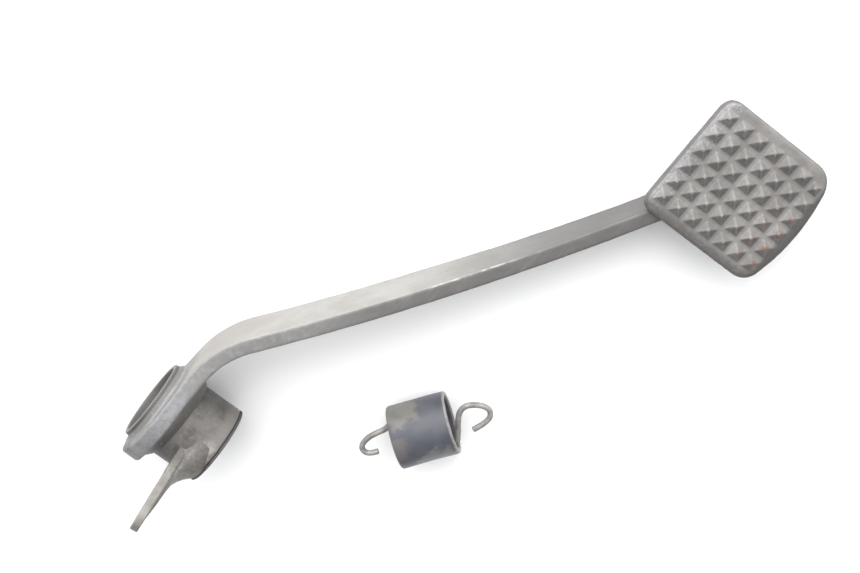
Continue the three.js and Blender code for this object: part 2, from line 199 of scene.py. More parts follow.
def dent(piece, depth, size, seed):
    """Uneven surface: vertices move along their normals by up to depth, in lumps of size."""
    mesh = piece.data
    count = len(mesh.vertices)
    normals = np.zeros(count * 3, np.float32)
    mesh.vertices.foreach_get("normal", normals)
    normals = normals.reshape(-1, 3)
    places = np.zeros(count * 3, np.float32)
    mesh.vertices.foreach_get("co", places)
    places = places.reshape(-1, 3)
    shift = Vector((seed * 17.3, seed * 5.1, seed * 9.7))
    lumps = np.array([noise.noise(Vector(p) / (size * MM) + shift) for p in places])
    places += normals * (lumps * depth * MM)[:, None]
    mesh.vertices.foreach_set("co", places.astype(np.float32).ravel())
    mesh.update()
    return piece


def loft(name, rings, closed=False):
    """Skin over rings of the same number of points; closed joins the last ring to the first."""
    count = len(rings[0])
    points = [p for ring in rings for p in ring]
    faces = []
    last = len(rings) if closed else len(rings) - 1
    for i in range(last):
        a = i * count
        b = ((i + 1) % len(rings)) * count
        for j in range(count):
            k = (j + 1) % count
            faces.append((a + j, a + k, b + k, b + j))
    if not closed:
        faces.append(tuple(range(count)))
        faces.append(tuple(range((len(rings) - 1) * count, len(rings) * count)))
    return make(name, points, faces)


def lathe(name, profile, segments=144, centre=(0.0, 0.0)):
    """A ring about the pivot's direction from a closed profile of (radius, y)."""
    rings = []
    for i in range(segments):
        angle = 2 * math.pi * i / segments
        rings.append(
            [
                (
                    centre[0] + radius * math.cos(angle),
                    y,
                    centre[1] + radius * math.sin(angle),
                )
                for radius, y in profile
            ]
        )
    return loft(name, rings, closed=True)


def quadratic(a, control, b, steps):
    """Points of a quadratic curve after a, up to and with b."""
    made = []
    for i in range(1, steps + 1):
        t = i / steps
        made.append(
            tuple(
                (1 - t) ** 2 * p + 2 * t * (1 - t) * q + t * t * r
                for p, q, r in zip(a, control, b)
            )
        )
    return made


def catmull(points, steps):
    """A smooth line through the points, as a list with steps between each two."""
    padded = [2 * points[0] - points[1], *points, 2 * points[-1] - points[-2]]
    made = []
    for i in range(1, len(padded) - 2):
        p0, p1, p2, p3 = padded[i - 1 : i + 3]
        for j in range(steps):
            t = j / steps
            made.append(
                0.5
                * (
                    2 * p1
                    + (p2 - p0) * t
                    + (2 * p0 - 5 * p1 + 4 * p2 - p3) * t * t
                    + (3 * p1 - p0 - 3 * p2 + p3) * t**3
                )
            )
    made.append(points[-1].copy())
    return made


def wire(name, line, radius, sides=20):
    """A round wire along a line of hub-frame points, with slightly rounded cut ends."""
    tangents = []
    for i, _ in enumerate(line):
        ahead = line[min(i + 1, len(line) - 1)]
        behind = line[max(i - 1, 0)]
        tangents.append((ahead - behind).normalized())
    across = tangents[0].orthogonal().normalized()
    rings = []
    last = len(line) - 1
    for i, (place, tangent) in enumerate(zip(line, tangents)):
        across = (across - tangent * across.dot(tangent)).normalized()
        other = tangent.cross(across)
        stations = [(place, radius)]
        if i == 0:
            stations = [
                (place, radius * 0.8),
                (place + tangent * 0.12, radius * 0.96),
                (place + tangent * 0.3, radius),
            ]
        if i == last:
            stations = [
                (place - tangent * 0.3, radius),
                (place - tangent * 0.12, radius * 0.96),
                (place, radius * 0.8),
            ]
        for centre, reach in stations:
            rings.append(
                [
                    centre
                    + across * (reach * math.cos(2 * math.pi * j / sides))
                    + other * (reach * math.sin(2 * math.pi * j / sides))
                    for j in range(sides)
                ]
            )
    return loft(name, rings)


# ---------------------------------------------------------------- the bar and the hub
def bar_place(run):
    """Middle of the bar seen from above and the way it heads, at a run along it from the bend."""
    if run < 0:
        return BEND_START + run, BAR_MID_Y, 0.0
    bend = min(run / BEND_RADIUS, BEND_ANGLE)
    heading = bend - max(run - BEND_ANGLE * BEND_RADIUS, 0) / BOW_RADIUS
    x = (
        BEND_START
        + BEND_RADIUS * math.sin(bend)
        + BOW_RADIUS * (math.sin(bend) - math.sin(heading))
    )
    drop = BEND_RADIUS * (1 - math.cos(bend))
    drop += BOW_RADIUS * (math.cos(heading) - math.cos(bend))
    return x, BAR_MID_Y - drop, heading


def bar_edges():
    """Upper and lower edge of the bar as lists of (x, z)."""
    top = math.radians(66)
    bottom = math.radians(-58)
    eye_top = (EYE_RADIUS * math.cos(top), EYE_RADIUS * math.sin(top))
    eye_bottom = (EYE_RADIUS * math.cos(bottom), EYE_RADIUS * math.sin(bottom))
    upper = [(0, EYE_RADIUS), eye_top]
    upper += list(reversed(quadratic((45, 11.3), (23.5, 13.7), eye_top, 12)))[1:]
    upper += [(45, 11.3), (180, -0.9), (230, -0.9)]
    lower = [(0, -EYE_RADIUS), eye_bottom]
    lower += quadratic(eye_bottom, (21.5, -11.8), (45, -13.0), 12)
    lower += [(105, -18.2), (178, -19.9), (192, TABLE), (198, TABLE), (220, -9.5)]
    return upper, lower


def bar_section(run, edges, corner=0.9):
    """Closed ring of points round the bar, its corners rounded."""
    x, y, heading = bar_place(run)
    upper, lower = edges
    top = np.interp(x, *zip(*upper))
    bottom = np.interp(x, *zip(*lower))
    inboard = BAR_THICKNESS / 2
    outboard = -BAR_THICKNESS / 2 + BAR_TAPER * max(run, 0) / BAR_LENGTH
    centres = [
        (inboard - corner, top - corner, 0),
        (outboard + corner, top - corner, 90),
        (outboard + corner, bottom + corner, 180),
        (inboard - corner, bottom + corner, 270),
    ]
    ring = []
    for across, height, start in centres:
        for i in range(4):
            angle = math.radians(start + i * 30)
            offset = across + corner * math.cos(angle)
            ring.append(
                (
                    x + offset * math.sin(heading),
                    y + offset * math.cos(heading),
                    height + corner * math.sin(angle),
                )
            )
    return ring


def bar():
    edges = bar_edges()
    runs = list(np.arange(-21.0, BAR_LENGTH - 1.0, 1.5)) + [BAR_LENGTH - 0.6]
    rings = [bar_section(run, edges) for run in runs]
    rings.append(bar_section(BAR_LENGTH, edges, 1.6))
    return loft("bar", rings)


def bead(name, line, radius, seed):
    """A run of weld: overlapping lumps along a line."""
    rings = []
    count = len(line)
    sides = 14
    for i, place in enumerate(line):
        ahead = line[min(i + 1, count - 1)]
        behind = line[max(i - 1, 0)]
        tangent = (ahead - behind).normalized()
        across = tangent.cross(Vector((0.31, 0.77, 0.55))).normalized()
        other = tangent.cross(across)
        ripple = 1 + 0.13 * math.sin(i * 1.35) + 0.1 * noise.noise(
            Vector((i * 0.21, seed, 0))
        )
        fade = min(1.0, 0.35 + 0.25 * min(i, count - 1 - i))
        reach = radius * ripple * fade
        rings.append(
            [
                place
                + across * (reach * math.cos(2 * math.pi * j / sides))
                + other * (reach * math.sin(2 * math.pi * j / sides))
                for j in range(sides)
            ]
        )
    return loft(name, rings)


def lever_point(along, across, out):
    """A point of the rod lever's own plate in the hub frame."""
    z = across * math.cos(LEVER_TWIST) + out * math.sin(LEVER_TWIST)
    y = out * math.cos(LEVER_TWIST) - across * math.sin(LEVER_TWIST) + LEVER_MID_Y
    return Vector(
        (
            along * math.cos(LEVER_ANGLE) - z * math.sin(LEVER_ANGLE),
            y,
            along * math.sin(LEVER_ANGLE) + z * math.cos(LEVER_ANGLE),
        )
    )


def hub_and_bar():
    """The forged arm with its eye, boss and welds, cut out for the tube."""
    parts = [bar()]
    parts.append(
        lathe(
            "eye",
            [(14, EYE_OUTBOARD), (EYE_RADIUS - 0.5, EYE_OUTBOARD)]
            + [(EYE_RADIUS, 6.2), (EYE_RADIUS, 11.8)]
            + [(EYE_RADIUS - 0.5, 12.3), (14, 12.3)],
        )
    )
    parts.append(
        lathe(
            "cheek",
            [(11, 11), (EYE_RADIUS - 1.8, 11), (EYE_RADIUS - 2.1, 12.7)]
            + [(EYE_RADIUS - 3.2, EYE_INBOARD), (11, EYE_INBOARD)],
            centre=(-2.2, 0.0),
        )
    )
    parts.append(
        lathe(
            "nose",
            [(0.01, EYE_OUTBOARD), (7.2, EYE_OUTBOARD), (8, 6.5), (8, 12.9)]
            + [(7.2, EYE_INBOARD), (0.01, EYE_INBOARD)],
            48,
            (-12.4, 8.2),
        )
    )
    parts.append(
        lathe(
            "boss",
            [(10, 7), (20.7, 7), (20.3, 5.7), (19.6, 4.9), (18.6, 4.0), (17.4, 2.9)]
            + [(16.0, 1.6), (14.0, 0.2), (10, 0.2)],
            centre=(0.7, 0.0),
        )
    )
    parts.append(
        lathe(
            "inboard_fillet",
            [(14, 12.9), (18.3, 12.9), (17.5, 13.9), (16.9, 14.5), (16.5, 15.2)]
            + [(14, 15.2)],
        )
    )
    piece = join("pedal_arm_forging", parts)
    fuse(piece, 0.42, 5)
    room = [(0.01, -30), (TUBE_ROOM, -30), (TUBE_ROOM, 30), (0.01, 30)]
    cutter = lathe("cutter", room, 144)
    cut = piece.modifiers.new("bore", "BOOLEAN")
    cut.operation = "DIFFERENCE"
    cut.solver = "EXACT"
    cut.object = cutter
    settle(piece)
    bpy.data.objects.remove(cutter)
    dent(piece, 0.10, 7.0, 2)
    dent(piece, 0.035, 1.6, 5)
    return smooth(piece, 50)


def pivot_tube():
    profile = [
        (TUBE_RADIUS - 0.7, TUBE_OUTBOARD),
        (TUBE_RADIUS - 0.2, TUBE_OUTBOARD + 0.2),
        (TUBE_RADIUS, TUBE_OUTBOARD + 0.7),
    ]
    profile += [(TUBE_RADIUS, y) for y in np.linspace(-14.0, 15.5, 18)]
    profile += [
        (TUBE_RADIUS, 15.9),
        (TUBE_RADIUS - 0.2, 16.3),
        (TUBE_RADIUS - 0.6, TUBE_INBOARD),
        (TUBE_BORE + 0.7, TUBE_INBOARD),
        (TUBE_BORE + 0.2, 16.2),
        (TUBE_BORE, 15.6),
    ]
    profile += [(TUBE_BORE, y) for y in np.linspace(14, -14, 10)]
    profile += [(TUBE_BORE + 0.2, TUBE_OUTBOARD + 0.1)]
    return smooth(lathe("pivot_tube_turned", profile, 180), 40)


def bush(name, low, high):
    profile = [
        (14.45, low),
        (14.6, low + 0.3),
        (14.6, high - 0.3),
        (14.3, high),
        (13.1, high),
        (12.75, high - 0.5),
        (12.7, high - 1.0),
        (12.7, low + 0.6),
        (13.1, low),
    ]
    return smooth(lathe(name, profile, 144), 40)


def collar():
    profile = [
        (11.8, -12.5),
        (12.2, -12.3),
        (12.4, -11.7),
        (12.4, 13.0),
        (12.2, 13.6),
        (11.8, 13.8),
        (10.9, 13.8),
        (10.35, 13.5),
        (10.2, 12.9),
        (10.2, -11.6),
        (10.35, -12.2),
        (10.9, -12.5),
    ]
    return smooth(lathe("pivot_collar_turned", profile, 144), 40)


def seal():
    """Moulded rubber cap ring with a rolled edge and a lip that enters the tube."""
    profile = [
        (13.2, -16.3),
        (13.6, -16.45),
        (14.4, -16.25),
        (15.0, -16.25),
        (15.6, -16.5),
        (16.2, -16.45),
        (16.5, -16.25),
        (16.65, -15.95),
        (16.55, -15.65),
        (16.2, -15.45),
        (14.3, -15.45),
        (14.3, -13.4),
        (14.1, -13.15),
        (13.2, -13.15),
        (12.95, -13.5),
        (12.9, -14.5),
        (12.75, -15.6),
        (12.9, -16.1),
    ]
    return smooth(lathe("end_seal_moulded", profile, 180), 55)


def gusset():
    """Thickened root of the lever, spreading along the tube to its outboard end."""
    rings = []
    for along, inner, outer, half in (
        (11.0, 2.6, -13.2, 12.4),
        (13.5, 2.4, -12.6, 10.3),
        (15.5, 2.2, -11.4, 8.7),
        (17.5, 1.9, -9.6, 7.5),
        (19.5, 1.6, -7.4, 6.9),
        (22.0, 1.5, -5.0, 6.5),
        (25.0, 1.5, -3.6, 6.1),
        (30.0, 1.4, -2.9, 5.7),
        (38.0, 1.3, -2.4, 5.2),
        (45.0, 1.2, -1.7, 4.6),
    ):
        middle, deep = (inner + outer) / 2, (inner - outer) / 2
        square = 1.0 if along < 20 else 0.75 if along < 28 else 0.6
        ring = []
        for i in range(32):
            angle = 2 * math.pi * i / 32
            c, s = math.cos(angle), math.sin(angle)
            out = middle + deep * math.copysign(abs(s) ** square, s)
            across = half * math.copysign(abs(c) ** square, c)
            ring.append(lever_point(along, across, out))
        rings.append(ring)
    return loft("gusset", rings)


def rod_lever():
    """Flat blade with a rounded tip and the clevis hole, its edges softened."""
    outline = [(8.0, -8.5), (16.5, -7.5)]
    outline += quadratic((16.5, -7.5), (22.5, -7.0), (LEVER_TIP, -LEVER_TIP_RADIUS), 14)
    for i in range(1, 24):
        angle = math.radians(-90 + 180 * i / 24)
        outline.append(
            (
                LEVER_TIP + LEVER_TIP_RADIUS * math.cos(angle),
                LEVER_TIP_RADIUS * math.sin(angle),
            )
        )
    outline += [(LEVER_TIP, LEVER_TIP_RADIUS)]
    outline += quadratic((LEVER_TIP, LEVER_TIP_RADIUS), (22.5, 7.0), (16.5, 7.5), 14)
    outline += [(8.0, 8.5)]
    turn = np.linspace(0, 2 * math.pi, 49)[:-1]
    hole = [
        (LEVER_TIP + LEVER_HOLE_RADIUS * math.cos(t), LEVER_HOLE_RADIUS * math.sin(t))
        for t in turn
    ]
    curve = bpy.data.curves.new("blade_outline", "CURVE")
    curve.dimensions = "2D"
    curve.fill_mode = "BOTH"
    curve.extrude = LEVER_FLAT * MM
    curve.bevel_depth = LEVER_ROUND * MM
    curve.bevel_resolution = 3
    curve.offset = -LEVER_ROUND * MM
    for loop in (outline, hole):
        spline = curve.splines.new("POLY")
        spline.points.add(len(loop) - 1)
        for point, (u, v) in zip(spline.points, loop):
            point.co = (u * MM, v * MM, 0, 1)
        spline.use_cyclic_u = True
    flat = bpy.data.objects.new("blade_flat", curve)
    bpy.context.scene.collection.objects.link(flat)
    bpy.context.view_layer.update()
    graph = bpy.context.evaluated_depsgraph_get()
    mesh = bpy.data.meshes.new_from_object(flat.evaluated_get(graph))
    bpy.data.objects.remove(flat)
    for v in mesh.vertices:
        v.co = PIVOT + lever_point(v.co.x / MM, v.co.y / MM, v.co.z / MM) * MM
    bm = bmesh.new()
    bm.from_mesh(mesh)
    bmesh.ops.remove_doubles(bm, verts=bm.verts, dist=1e-6)
    bmesh.ops.recalc_face_normals(bm, faces=bm.faces)
    bm.to_mesh(mesh)
    bm.free()
    blade = bpy.data.objects.new("blade", mesh)
    bpy.context.scene.collection.objects.link(blade)
    # the cutters open the pin hole again after the fuse and clear the inside of the tube
    plug = LEVER_PLUG_RADIUS
    hole_plug = [
        [
            lever_point(LEVER_TIP + plug * math.cos(t), plug * math.sin(t), out)
            for t in turn
        ]
        for out in (-6.0, 6.0)
    ]
    inside = [(0.01, -30), (16.2, -30), (16.2, 30), (0.01, 30)]
    cutters = [loft("pin_hole", hole_plug), lathe("tube_room", inside, 144)]
    piece = join("brake_rod_lever_blade", [blade, gusset()])
    fuse(piece, 0.28, 5)
    for cutter in cutters:
        cut = piece.modifiers.new("cut", "BOOLEAN")
        cut.operation = "DIFFERENCE"
        cut.solver = "EXACT"
        cut.object = cutter
    settle(piece)
    for cutter in cutters:
        bpy.data.objects.remove(cutter)
    dent(piece, 0.09, 5.0, 21)
    dent(piece, 0.03, 1.2, 23)
    return smooth(piece, 50)


# ---------------------------------------------------------------- the pad
def pad_outline(inset, shade=1.0):
    """Outline, X to the front and Y inboard; shade widens the inset at the rear and outboard."""
    rear, front = PAD_REAR + inset * shade, PAD_FRONT - inset
    inboard, outboard = PAD_INBOARD - inset, PAD_OUTBOARD + inset * shade
    points = [(rear, inboard - 5)]
    points += [
        (rear, y) for y in np.linspace(inboard - 5, outboard + 8, 9)[1:]
    ]
    points += quadratic(
        (rear, outboard + 8), (rear, outboard + 0.6), (rear + 8, outboard - 0.2), 10
    )
    points += quadratic(
        (rear + 8, outboard - 0.2), (0, outboard - 3.6), (front - 9, outboard + 0.7), 14
    )
    points += quadratic(
        (front - 9, outboard + 0.7),
        (front, outboard + 2.4),
        (front, outboard + 11),
        12,
    )
    points += [
        (front, y) for y in np.linspace(outboard + 11, inboard - 6.5, 9)[1:]
    ]
    points += quadratic(
        (front, inboard - 6.5), (front, inboard), (front - 6.5, inboard), 9
    )
    points += [
        (x, inboard) for x in np.linspace(front - 6.5, rear + 5, 9)[1:]
    ]
    points += quadratic((rear + 5, inboard), (rear, inboard), (rear, inboard - 5), 8)
    return points[:-1]


def pad_point(u, v, z):
    c, s = math.cos(PAD_TURN), math.sin(PAD_TURN)
    return (PAD_CENTRE[0] + u * c - v * s, PAD_CENTRE[1] + u * s + v * c, z)


def stud(u, v, worn, base):
    """A four-sided tooth whose tip leans forward and inboard and is rubbed down a little."""
    rings = []
    lean_u, lean_v = STUD_LEAN
    for z, half, lean in (
        (1.6, base + 0.1, 0.0),
        (PAD_TOP, base, 0.0),
        (PAD_TOP + STUD_HEIGHT - worn, 0.36 + worn * 0.9, 1.0),
    ):
        rings.append(
            [
                pad_point(u + a * half + lean * lean_u, v + b * half + lean * lean_v, z)
                for a, b in ((-1, -1), (1, -1), (1, 1), (-1, 1))
            ]
        )
    return loft("stud", rings)


def foot_pad():
    rings = []
    for inset, z in (
        (1.5, PAD_TOP),
        (0.75, PAD_TOP - 0.2),
        (0.2, PAD_TOP - 0.75),
        (0.0, PAD_TOP - 1.5),
        (0.0, -2.1),
        (0.25, -2.9),
        (0.8, -3.45),
        (1.4, -3.6),
        (2.3, -3.6),
        (2.6, -3.2),
        (2.75, -1.2),
        (3.6, -0.6),
    ):
        shade = PAD_SHADE if z > 0 else 1.0
        rings.append([pad_point(u, v, z) for u, v in pad_outline(inset, shade)])
    parts = [loft("slab", rings)]
    for i in range(STUD_ROWS):
        for j in range(STUD_COLUMNS):
            u = (i - (STUD_ROWS - 1) / 2) * STUD_PITCH + STUD_SHIFT[0]
            v = (j - (STUD_COLUMNS - 1) / 2) * STUD_PITCH + STUD_SHIFT[1]
            worn = 0.12 + 0.16 * noise.noise(Vector((i * 1.7, j * 2.3, 4.2)))
            half = STUD_HALF
            if (i, j) == CORNER_STUD:
                u += CORNER_STUD_SHIFT[0]
                v += CORNER_STUD_SHIFT[1]
                half = CORNER_STUD_HALF
            parts.append(stud(u, v, max(0.0, worn), half))
    piece = join("foot_pad_forging", parts)
    fuse(piece, 0.3, 2)
    dent(piece, 0.08, 6.0, 31)
    dent(piece, 0.05, 1.3, 33)
    return smooth(piece, 60)


def pad_bead(name, side, seed):
    """Weld along one side of the bar, in the corner under the pad's plate."""
    line = []
    for i in range(45):
        run = 192.5 + i * 0.48
        x, y, heading = bar_place(run)
        offset = side * (BAR_THICKNESS / 2 + 0.5)
        if side < 0:
            offset += BAR_TAPER * run / BAR_LENGTH
        line.append(
            Vector((x + offset * math.sin(heading), y + offset * math.cos(heading), -1.5))
        )
    piece = bead(name, line, 1.55, seed)
    fuse(piece, 0.3, 2)
    return smooth(piece, 60)


# ---------------------------------------------------------------- the spring
def spring_place(along, across, height):
    """Spring-axis millimetres to the hub frame."""
    c, s = math.cos(SPRING_TURN), math.sin(SPRING_TURN)
    return Vector(SPRING_CENTRE) + Vector(
        (along * c - across * s, along * s + across * c, height)
    )


def coil_point(turn):
    angle = 2 * math.pi * turn + math.pi / 2
    return (
        turn * COIL_PITCH - COIL_TURNS * COIL_PITCH / 2,
        COIL_RADIUS * math.sin(angle),
        COIL_RADIUS * math.cos(angle),
    )


def spring_wire():
    """Hook, coil and hook as one length of wire."""
    near = [
        (-20.5, -4.0, 0),
        (-23.4, -3.9, 0),
        (-25.6, -3.0, 0),
        (-26.5, -0.8, 0),
        (-25.2, 1.5, 0),
        (-22.0, 3.3, 0),
        (-18.6, 4.1, 0),
        (-15.4, 4.7, 0.1),
        (-13.1, 6.0, 0.5),
        (-11.4, 8.2, 1.0),
        (-10.0, 9.5, 0.2),
    ]
    far = [
        (10.0, -9.5, 0.2),
        (11.7, -8.6, 1.0),
        (13.1, -5.2, 0.6),
        (14.6, -0.4, 0.1),
        (16.4, 3.3, 0),
        (19.4, 5.1, 0),
        (23.2, 4.6, 0),
        (26.6, 2.8, 0),
        (28.2, 0.2, 0),
        (27.2, -2.6, 0),
        (24.0, -4.5, 0),
        (19.4, -5.9, 0),
    ]
    turns = np.arange(0.05, COIL_TURNS - 0.04, 0.125)
    path = near + [coil_point(t) for t in turns] + far
    line = catmull([spring_place(*p) for p in path], 5)
    piece = wire("return_spring_wire", line, WIRE_RADIUS)
    dent(piece, 0.02, 0.9, 41)
    return smooth(piece, 60)


def sleeve():
    """Rubber damper sleeve, a little out of round, with soft cut edges."""
    half = SLEEVE_HALF
    profile = [(11.9, -half), (12.8, -half + 0.05), (13.1, -half + 0.4)]
    profile += [(13.2, a) for a in np.linspace(-half + 1.0, half - 1.0, 26)]
    profile += [(13.1, half - 0.4), (12.8, half - 0.05), (11.9, half)]
    profile += [(11.4, half - 0.1), (11.2, half - 0.5)]
    profile += [(11.2, a) for a in np.linspace(half - 1.2, -half + 1.2, 22)]
    profile += [(11.2, -half + 0.5), (11.4, -half + 0.1)]
    rings = []
    for i in range(160):
        angle = 2 * math.pi * i / 160
        ring = []
        for radius, along in profile:
            lump = noise.noise(
                Vector((along * 0.09, math.cos(angle) * 1.1, math.sin(angle) * 1.1))
            )
            reach = radius + 0.16 * lump - 0.1
            ring.append(
                spring_place(along, reach * math.cos(angle), reach * math.sin(angle))
            )
        rings.append(ring)
    piece = loft("damper_sleeve_rubber", rings, closed=True)
    return smooth(piece, 60)


# ---------------------------------------------------------------- materials
class Paint:
    """A Principled material built in layers. Sizes are in millimetres in the row frame."""

    def __init__(self, name, metallic):
        self.material = bpy.data.materials.new(name)
        self.material.use_nodes = True
        self.tree = self.material.node_tree
        self.tree.nodes.clear()
        self.shader = self.tree.nodes.new("ShaderNodeBsdfPrincipled")
        out = self.tree.nodes.new("ShaderNodeOutputMaterial")
        self.tree.links.new(self.shader.outputs[0], out.inputs[0])
        self.shader.inputs["Metallic"].default_value = metallic
        coordinates = self.tree.nodes.new("ShaderNodeTexCoord")
        scale = self.node("ShaderNodeVectorMath", [(0, coordinates.outputs["Object"])])
        scale.operation = "SCALE"
        scale.inputs["Scale"].default_value = 1000.0
        self.mm = scale.outputs[0]
        self.normal = None

    def node(self, kind, links=(), **settings):
        made = self.tree.nodes.new(kind)
        for key, value in settings.items():
            setattr(made, key, value)
        for key, value in links:
            self.put(made.inputs[key], value)
        return made

    def put(self, socket, value):
        if isinstance(value, bpy.types.NodeSocket):
            self.tree.links.new(value, socket)
        elif value is not None:
            socket.default_value = value

    def noise(self, size, detail=4.0, rough=0.6, stretch=None, shift=0.0, warp=0.0):
        vector = self.mm
        if stretch or shift:
            mapping = self.node("ShaderNodeMapping", [("Vector", vector)])
            mapping.inputs["Location"].default_value = (shift, shift * 0.7, shift * 1.3)
            if stretch:
                angle, scale = stretch
                mapping.inputs["Rotation"].default_value = (0, 0, angle)
                mapping.inputs["Scale"].default_value = scale
            vector = mapping.outputs[0]
        made = self.node("ShaderNodeTexNoise", [("Vector", vector)])
        made.inputs["Scale"].default_value = 1.0 / size
        made.inputs["Detail"].default_value = detail
        made.inputs["Roughness"].default_value = rough
        made.inputs["Distortion"].default_value = warp
        return made.outputs[0]

    def span(self, value, low, high, to_low=0.0, to_high=1.0):
        """Smooth step of value from low..high to to_low..to_high."""
        made = self.node(
            "ShaderNodeMapRange", [("Value", value)], interpolation_type="SMOOTHSTEP"
        )
        made.inputs["From Min"].default_value = low
        made.inputs["From Max"].default_value = high
        made.inputs["To Min"].default_value = to_low
        made.inputs["To Max"].default_value = to_high
        return made.outputs[0]

    def math(self, operation, a, b):
        made = self.node("ShaderNodeMath", [(0, a), (1, b)], operation=operation)
        return made.outputs[0]

    def near(self, point, radius, soft):
        """1 inside a ball in the hub frame, falling to 0 over soft."""
        place = (PIVOT + Vector(point) * MM) / MM
        made = self.node(
            "ShaderNodeVectorMath", [(0, self.mm), (1, place)], operation="DISTANCE"
        )
        return self.span(made.outputs["Value"], radius + soft, radius)

    def along(self, direction, start, end):
        """0 before start and 1 after end, along a direction in the hub frame."""
        unit = Vector(direction).normalized()
        made = self.node(
            "ShaderNodeVectorMath", [(0, self.mm), (1, unit)], operation="DOT_PRODUCT"
        )
        shift = unit.dot(PIVOT) / MM
        return self.span(made.outputs["Value"], start + shift, end + shift)

    def facing(self, direction, low, high):
        """1 where the surface faces a direction of the object."""
        geometry = self.node("ShaderNodeTexCoord")
        made = self.node(
            "ShaderNodeVectorMath",
            [(0, geometry.outputs["Normal"]), (1, Vector(direction).normalized())],
            operation="DOT_PRODUCT",
        )
        return self.span(made.outputs["Value"], low, high)

    def mix(self, a, b, factor):
        """Colour a, with b over it by factor."""
        made = self.node("ShaderNodeMix", data_type="RGBA")
        self.put(made.inputs[0], factor)
        for socket, value in ((made.inputs[6], a), (made.inputs[7], b)):
            if isinstance(value, tuple):
                value = (*value, 1.0)
            self.put(socket, value)
        return made.outputs[2]

    def bump(self, height, depth):
        made = self.node("ShaderNodeBump", [("Height", height)])
        made.inputs["Distance"].default_value = depth * MM
        made.inputs["Strength"].default_value = 1.0
        if self.normal is not None:
            self.tree.links.new(self.normal, made.inputs["Normal"])
        self.normal = made.outputs[0]

    def finish(self, colour, roughness):
        self.put(self.shader.inputs["Base Color"], colour)
        self.put(self.shader.inputs["Roughness"], roughness)
        if self.normal is not None:
            self.tree.links.new(self.normal, self.shader.inputs["Normal"])
        return self.material


def both(paint, a, b):
    return paint.math("MULTIPLY", a, b)


